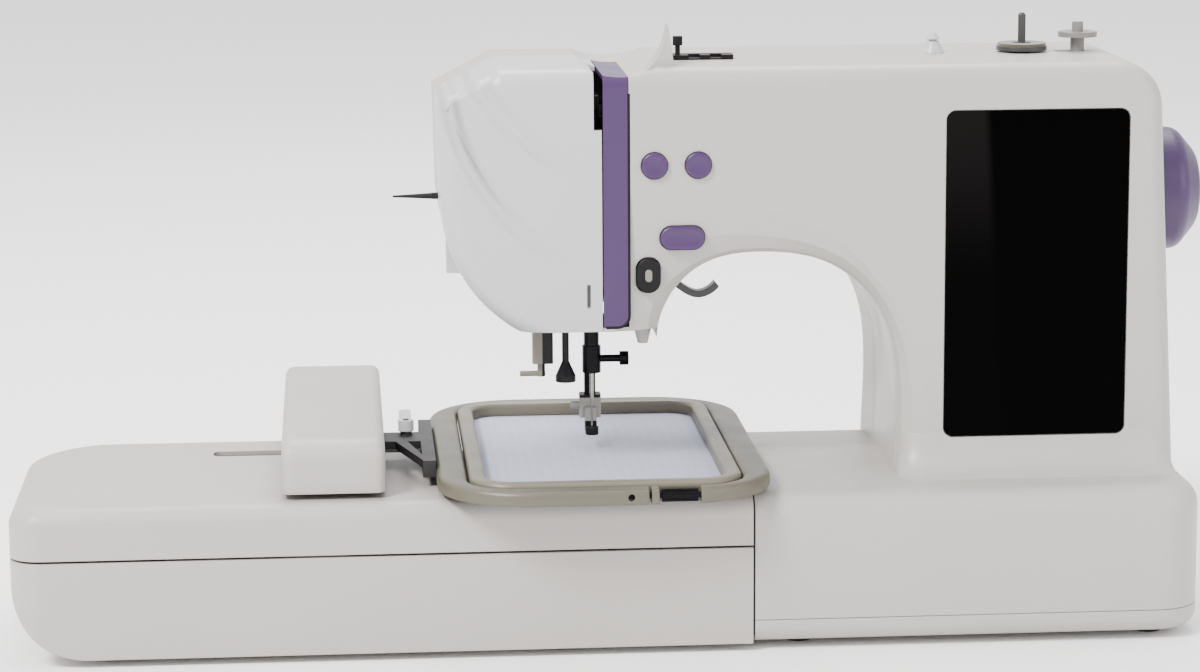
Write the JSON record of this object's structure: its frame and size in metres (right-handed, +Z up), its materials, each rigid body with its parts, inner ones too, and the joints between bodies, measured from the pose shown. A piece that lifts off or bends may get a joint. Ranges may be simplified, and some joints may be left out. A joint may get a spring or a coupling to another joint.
{
  "type": "sewing machine",
  "caption": "Home sewing and embroidery machine with a touch screen pillar, a hand wheel, and a slide-on embroidery unit whose carriage moves a hoop under the needle.",
  "frame": {"origin": "middle of the footprint's bounding box, on the surface that the feet stand on", "axes": "+X towards the hand wheel, +Y away from the operator, +Z up"},
  "size_m": [0.605, 0.251, 0.306],
  "materials": {
    "casing_abs": "warm pale grey moulded ABS, fine satin",
    "cover_abs": "cool pale grey moulded ABS, satin",
    "purple_abs": "purple moulded ABS, gloss",
    "hoop_abs": "grey-beige moulded nylon, satin",
    "dark_plastic": "black moulded plastic",
    "screen": "black touch screen glass, polished",
    "clear_cover": "clear polycarbonate cover",
    "white_fabric": "plain woven cotton, stretched",
    "felt": "pressed wool felt",
    "steel": "ground and polished steel",
    "dark_steel": "blackened steel, satin",
    "bright_steel": "nickel-plated steel",
    "bronze": "sintered bronze",
    "cast_aluminium": "die-cast aluminium, as cast",
    "belt_rubber": "ribbed drive belt rubber",
    "foot_rubber": "moulded rubber",
    "board": "green circuit board"
  },
  "bodies": {
    "machine": {"base_tray": "casing_abs", "thread_channel": "purple_abs", "front_casing": "casing_abs", "head_cover": "cover_abs", "thread_cutter": "casing_abs", "rear_casing": "casing_abs", "casing_screws": "steel", "free_arm": "casing_abs", "needle_plate": "steel", "bobbin_cover": "clear_cover", "bobbin_case": "dark_plastic", "cast_frame": "cast_aluminium", "shaft_bushes": "bronze", "main_motor": "dark_steel", "motor_belt": "belt_rubber", "timing_belt": "belt_rubber", "screen_glass": "screen", "control_board": "board", "power_inlet": "dark_plastic", "spool_pin": "dark_plastic", "spool_felt": "felt", "thread_post": "casing_abs", "top_thread_guide": "dark_plastic", "work_light": "casing_abs", "unit_upper_case": "casing_abs", "unit_lower_case": "casing_abs", "unit_rails": "steel", "unit_motor": "dark_steel", "rubber_feet": "foot_rubber"},
    "hand_drive": {"hand_wheel": "purple_abs", "main_shaft": "steel"},
    "motor_drive": {"motor_pulley": "dark_steel"},
    "low_drive": {"lower_shaft": "steel"},
    "hook": {"rotary_hook": "dark_plastic"},
    "bobbin_spool": {"bobbin": "clear_cover"},
    "needle_group": {"needle_bar": "dark_steel", "needle_clamp": "dark_steel", "clamp_screw": "dark_steel", "needle": "bright_steel"},
    "take_up": {"take_up_lever": "steel"},
    "presser_group": {"presser_bar": "dark_steel", "embroidery_foot": "dark_steel"},
    "lifter": {"presser_lever": "dark_plastic"},
    "threader": {"needle_threader": "dark_plastic"},
    "left_key": {"left_button": "purple_abs"},
    "right_key": {"right_button": "purple_abs"},
    "wide_key": {"wide_button": "purple_abs"},
    "start_key": {"start_button": "dark_plastic"},
    "switch": {"power_switch": "dark_plastic"},
    "winder": {"winder_arm": "dark_plastic"},
    "winder_head": {"winder_spindle": "bright_steel"},
    "feed": {"feed_dog": "steel"},
    "carriage": {"carriage_cover": "casing_abs", "carriage_base": "steel"},
    "hoop": {"hoop_bracket": "hoop_abs", "outer_hoop": "hoop_abs", "inner_hoop": "hoop_abs", "hoop_fabric": "white_fabric"},
    "hoop_latch": {"hoop_lever": "casing_abs"},
    "hoop_tightener": {"hoop_screw": "bright_steel"}
  },
  "joints": [
    {"name": "hand_wheel_turn", "type": "hinge", "parent": "machine", "child": "hand_drive", "pos_m": [0.2, 0, 0.215], "axis": [1, 0, 0], "continuous": true},
    {"name": "motor_turn", "type": "hinge", "parent": "machine", "child": "motor_drive", "pos_m": [0.2, -0.028, 0.062], "axis": [1, 0, 0], "continuous": true},
    {"name": "low_shaft_turn", "type": "hinge", "parent": "machine", "child": "low_drive", "pos_m": [0.1, 0.006, 0.038], "axis": [1, 0, 0], "continuous": true},
    {"name": "hook_turn", "type": "hinge", "parent": "machine", "child": "hook", "pos_m": [-0.01, -0.0215, 0.06], "axis": [0, 0, 1], "continuous": true},
    {"name": "bobbin_turn", "type": "hinge", "parent": "machine", "child": "bobbin_spool", "pos_m": [-0.01, -0.0215, 0.065], "axis": [0, 0, 1], "continuous": true},
    {"name": "needle_bar_slide", "type": "slide", "parent": "machine", "child": "needle_group", "axis": [0, 0, 1], "range_m": [-0.028, 0]},
    {"name": "take_up_swing", "type": "hinge", "parent": "machine", "child": "take_up", "pos_m": [-0.004, 0.008, 0.245], "axis": [1, 0, 0], "range_deg": [0, 30]},
    {"name": "presser_slide", "type": "slide", "parent": "machine", "child": "presser_group", "axis": [0, 0, 1], "range_m": [0, 0.00595]},
    {"name": "presser_lever_turn", "type": "hinge", "parent": "machine", "child": "lifter", "pos_m": [0.01, 0.04, 0.176], "axis": [0, -1, 0], "range_deg": [0, 22]},
    {"name": "threader_slide", "type": "slide", "parent": "machine", "child": "threader", "axis": [0, 0, 1], "range_m": [-0.015, 0], "stiffness_N_per_m": 60, "springref_m": 0.003},
    {"name": "left_button_press", "type": "slide", "parent": "machine", "child": "left_key", "axis": [0, 1, 0], "range_m": [0, 0.0015], "stiffness_N_per_m": 400},
    {"name": "right_button_press", "type": "slide", "parent": "machine", "child": "right_key", "axis": [0, 1, 0], "range_m": [0, 0.0015], "stiffness_N_per_m": 400},
    {"name": "wide_button_press", "type": "slide", "parent": "machine", "child": "wide_key", "axis": [0, 1, 0], "range_m": [0, 0.0015], "stiffness_N_per_m": 400},
    {"name": "start_button_press", "type": "slide", "parent": "machine", "child": "start_key", "axis": [0, 1, 0], "range_m": [0, 0.0015], "stiffness_N_per_m": 400},
    {"name": "power_switch_tilt", "type": "hinge", "parent": "machine", "child": "switch", "pos_m": [0.287, 0.035, 0.05], "axis": [0, 1, 0], "range_deg": [-6, 6]},
    {"name": "winder_shift", "type": "slide", "parent": "machine", "child": "winder", "axis": [1, 0, 0], "range_m": [-0.008, 0]},
    {"name": "winder_turn", "type": "hinge", "parent": "winder", "child": "winder_head", "pos_m": [0.242, 0.006, 0.29], "axis": [0, 0, 1], "continuous": true},
    {"name": "feed_lift", "type": "slide", "parent": "machine", "child": "feed", "axis": [0, 0, 1], "range_m": [0, 0.002]},
    {"name": "carriage_slide", "type": "slide", "parent": "machine", "child": "carriage", "axis": [1, 0, 0], "range_m": [-0.05, 0.05]},
    {"name": "hoop_slide", "type": "slide", "parent": "carriage", "child": "hoop", "axis": [0, 1, 0], "range_m": [-0.056, 0.094]},
    {"name": "hoop_lever_turn", "type": "hinge", "parent": "hoop", "child": "hoop_latch", "pos_m": [-0.106, 0.004, 0.096], "axis": [0, 0, -1], "range_deg": [0, 30]},
    {"name": "hoop_screw_turn", "type": "hinge", "parent": "hoop", "child": "hoop_tightener", "pos_m": [0.02, -0.1213, 0.0858], "axis": [1, 0, 0], "continuous": true}
  ],
  "couplings": [
    {"joint": "motor_turn", "follows": "hand_wheel_turn", "ratio": 2.5},
    {"joint": "low_shaft_turn", "follows": "hand_wheel_turn", "ratio": 1},
    {"joint": "hook_turn", "follows": "hand_wheel_turn", "ratio": 2},
    {"joint": "take_up_swing", "follows": "needle_bar_slide", "rad_per_m": -18.6},
    {"joint": "presser_lever_turn", "follows": "presser_slide", "rad_per_m": 64.5}
  ]
}
